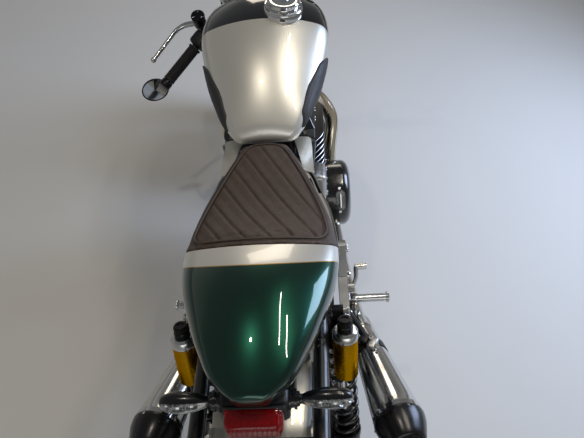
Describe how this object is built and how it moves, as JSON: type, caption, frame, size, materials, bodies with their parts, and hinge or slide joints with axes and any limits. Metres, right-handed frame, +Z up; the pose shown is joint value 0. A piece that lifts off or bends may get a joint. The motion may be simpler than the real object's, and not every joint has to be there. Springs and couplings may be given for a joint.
{
  "type": "cafe racer motorcycle",
  "caption": "Cafe racer motorcycle with a silver tank, quilted brown solo seat, green tail cowl, wire wheels and megaphone silencers, leaning on its side stand.",
  "frame": {"origin": "on the floor, under the middle of the parked machine's bounding box", "axes": "+Y forward along the machine, +X to the rider's right, +Z up; the machine leans 12 degrees towards -X on its side stand, with the bars on the left stop"},
  "size_m": [0.7622, 1.9998, 1.005],
  "materials": {
    "black_frame_enamel": "gloss",
    "black_engine_enamel": "satin",
    "polished_steel": "polished",
    "black_ceramic_coating": "satin",
    "silver_tank_paint": "gloss",
    "green_metallic_paint": "gloss",
    "knee_pad_rubber": "matte",
    "brown_leather": "satin",
    "chrome_plate": "polished",
    "cast_aluminium": "satin",
    "gold_anodised": "satin",
    "black_anodised": "satin",
    "black_spring_steel": "gloss",
    "brake_steel": "brushed",
    "chain_steel": "oiled",
    "polished_rim": "polished",
    "tyre_rubber": "matte",
    "red_lens": "clear",
    "clear_lens": "clear"
  },
  "bodies": {
    "chassis": {"main_frame": "black_frame_enamel", "frame_cradle_right": "black_frame_enamel", "frame_cradle_left": "black_frame_enamel", "rear_subframe": "black_frame_enamel", "swingarm": "black_frame_enamel", "rear_axle_and_pivot": "polished_steel", "crankcase": "black_engine_enamel", "finned_cylinders": "black_engine_enamel", "engine_covers": "black_engine_enamel", "radiator": "black_frame_enamel", "throttle_covers": "cast_aluminium", "header_pipes": "polished_steel", "silencers": "polished_steel", "silencer_end_caps": "black_ceramic_coating", "silencer_hangers": "chrome_plate", "fuel_tank": "silver_tank_paint", "knee_pads": "knee_pad_rubber", "filler_base": "chrome_plate", "seat_pad": "brown_leather", "seat_tray": "black_frame_enamel", "tail_cowl": "green_metallic_paint", "side_panels": "silver_tank_paint", "rear_mudguard": "silver_tank_paint", "tail_lamp_base": "black_frame_enamel", "tail_lamp_lens": "red_lens", "rear_indicators": "black_frame_enamel", "plate_bracket": "black_frame_enamel", "shock_bodies": "black_anodised", "shock_springs": "black_spring_steel", "shock_reservoirs": "gold_anodised", "rear_caliper": "black_anodised", "drive_chain": "chain_steel", "chain_guard": "black_frame_enamel", "rearset_plates": "cast_aluminium", "footpegs": "cast_aluminium", "foot_levers": "cast_aluminium"},
    "rear_wheel": {"rear_tyre": "tyre_rubber", "rear_wire_wheel": "polished_rim", "rear_disc": "brake_steel", "rear_sprocket": "chain_steel"},
    "steering": {"fork_legs": "gold_anodised", "fork_yokes": "cast_aluminium", "clip_on_bars": "cast_aluminium", "grips": "knee_pad_rubber", "bar_controls": "black_anodised", "bar_end_mirrors": "black_anodised", "instruments": "black_anodised", "headlamp": "black_frame_enamel", "headlamp_lens": "clear_lens", "front_mudguard": "silver_tank_paint", "front_calipers": "black_anodised", "front_indicators": "black_frame_enamel", "front_axle": "polished_steel"},
    "front_wheel": {"front_tyre": "tyre_rubber", "front_wire_wheel": "polished_rim", "front_discs": "brake_steel"},
    "side_stand": {"side_stand": "black_anodised"},
    "filler_lid": {"filler_lid": "chrome_plate"}
  },
  "joints": [
    {"name": "rear_wheel_spin", "type": "hinge", "parent": "chassis", "child": "rear_wheel", "pos_m": [0.08122, -0.68804, 0.30713], "axis": [0.9781, 0.001, 0.2079], "continuous": true},
    {"name": "steering_turn", "type": "hinge", "parent": "chassis", "child": "steering", "pos_m": [-0.0226, 0.48029, 0.78993], "axis": [-0.1917, -0.3832, 0.9036], "range_deg": [-56, 0]},
    {"name": "front_wheel_spin", "type": "hinge", "parent": "steering", "child": "front_wheel", "pos_m": [0.06958, 0.72348, 0.28413], "axis": [0.8258, 0.4345, 0.3594], "continuous": true},
    {"name": "side_stand_fold", "type": "hinge", "parent": "chassis", "child": "side_stand", "pos_m": [-0.04124, -0.08865, 0.17812], "axis": [0.8929, 0.4231, -0.1539], "range_deg": [-87.3, 0]},
    {"name": "filler_lid_hinge", "type": "hinge", "parent": "chassis", "child": "filler_lid", "pos_m": [-0.00723, 0.20791, 0.97548], "axis": [-0.994, -0.0025, -0.1096], "range_deg": [0, 100]}
  ]
}
